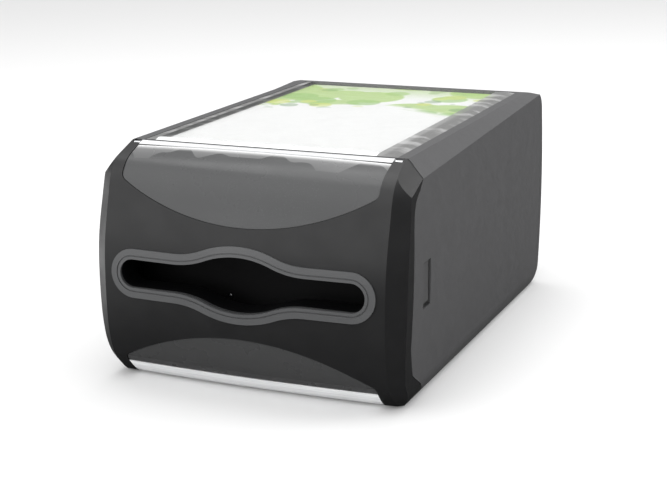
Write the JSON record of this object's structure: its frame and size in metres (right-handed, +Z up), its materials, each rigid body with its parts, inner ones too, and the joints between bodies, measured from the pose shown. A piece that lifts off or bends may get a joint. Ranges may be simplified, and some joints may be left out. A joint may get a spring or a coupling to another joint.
{
  "type": "countertop napkin dispenser",
  "caption": "Countertop dispenser for folded napkins, with a hinged slotted front, a sprung pusher inside, press-in side latches and a clear display pocket on top.",
  "frame": {"origin": "on the counter, below the middle of the whole body's bounding box", "axes": "+X to the user's right, +Y from the slotted front to the back, +Z up"},
  "size_m": [0.1998, 0.306, 0.1449],
  "materials": {
    "body_grey": "fine moulded texture, satin",
    "cover_black": "satin black moulding",
    "bezel_black": "satin dark grey moulding",
    "smoked_panel": "gloss smoked",
    "pale_lip": "gloss, milky",
    "clear_window": "clear plastic",
    "card_paper": "coated printed card",
    "tray_black": "matt moulding",
    "latch_grey": "satin moulding",
    "drum_white": "natural slippery plastic",
    "plate_steel": "zinc plated",
    "screw_steel": "zinc plated",
    "spring_steel": "bright rolled",
    "foot_rubber": "matt"
  },
  "bodies": {
    "housing": {"base_plate": "plate_steel", "base_screws": "screw_steel", "bracket_screw_left": "screw_steel", "bracket_screw_right": "screw_steel", "foot_pads": "foot_rubber", "guide_rail_left": "plate_steel", "guide_rail_right": "plate_steel", "hinge_bracket_left": "plate_steel", "hinge_bracket_right": "plate_steel", "hinge_pin_left": "plate_steel", "hinge_pin_right": "plate_steel", "housing_shell": "body_grey", "insert_card": "card_paper", "latch_guide_left": "tray_black", "latch_guide_right": "tray_black", "latch_spring_left": "spring_steel", "latch_spring_right": "spring_steel", "napkin_tray": "tray_black", "rear_bumper": "foot_rubber", "rear_cover": "body_grey", "rear_cover_screws": "screw_steel", "spring_strip": "spring_steel", "strip_anchor": "plate_steel", "top_window": "clear_window", "tray_screws": "screw_steel"},
    "front_cover": {"cover_frame": "cover_black", "upper_panel": "smoked_panel", "upper_lip": "pale_lip", "lower_panel": "smoked_panel", "lower_bead": "smoked_panel", "lower_lip": "pale_lip", "slot_bezel": "bezel_black", "inner_faceplate": "tray_black", "faceplate_screws": "screw_steel", "cover_catch_left": "plate_steel", "cover_catch_right": "plate_steel"},
    "pusher": {"pusher_plate": "tray_black", "pusher_carriage": "tray_black", "pusher_screws": "screw_steel", "pusher_handle": "latch_grey", "drum_axle": "plate_steel", "pusher_shoe_left": "drum_white", "pusher_shoe_right": "drum_white"},
    "spring_drum": {"spring_drum": "drum_white"},
    "latch_left": {"latch_button_left": "latch_grey"},
    "latch_right": {"latch_button_right": "latch_grey"}
  },
  "joints": [
    {"name": "cover_hinge", "type": "hinge", "parent": "housing", "child": "front_cover", "pos_m": [0, -0.1121, 0.1415], "axis": [-1, 0, 0], "range_deg": [0, 95]},
    {"name": "pusher_slide", "type": "slide", "parent": "housing", "child": "pusher", "axis": [0, 1, 0], "range_m": [0, 0.19], "stiffness_N_per_m": 4, "springref_m": -0.4, "deforming": ["spring_strip"]},
    {"name": "drum_spin", "type": "hinge", "parent": "pusher", "child": "spring_drum", "pos_m": [0, -0.085, 0.0286], "axis": [-1, 0, 0], "range_deg": [0, 994.7]},
    {"name": "latch_left_press", "type": "slide", "parent": "housing", "child": "latch_left", "axis": [1, 0, 0], "range_m": [0, 0.0025], "stiffness_N_per_m": 600, "springref_m": -0.002, "deforming": ["latch_spring_left"]},
    {"name": "latch_right_press", "type": "slide", "parent": "housing", "child": "latch_right", "axis": [-1, 0, 0], "range_m": [0, 0.0025], "stiffness_N_per_m": 600, "springref_m": -0.002, "deforming": ["latch_spring_right"]}
  ],
  "couplings": [
    {"joint": "drum_spin", "follows": "pusher_slide", "rad_per_m": 90.909}
  ]
}
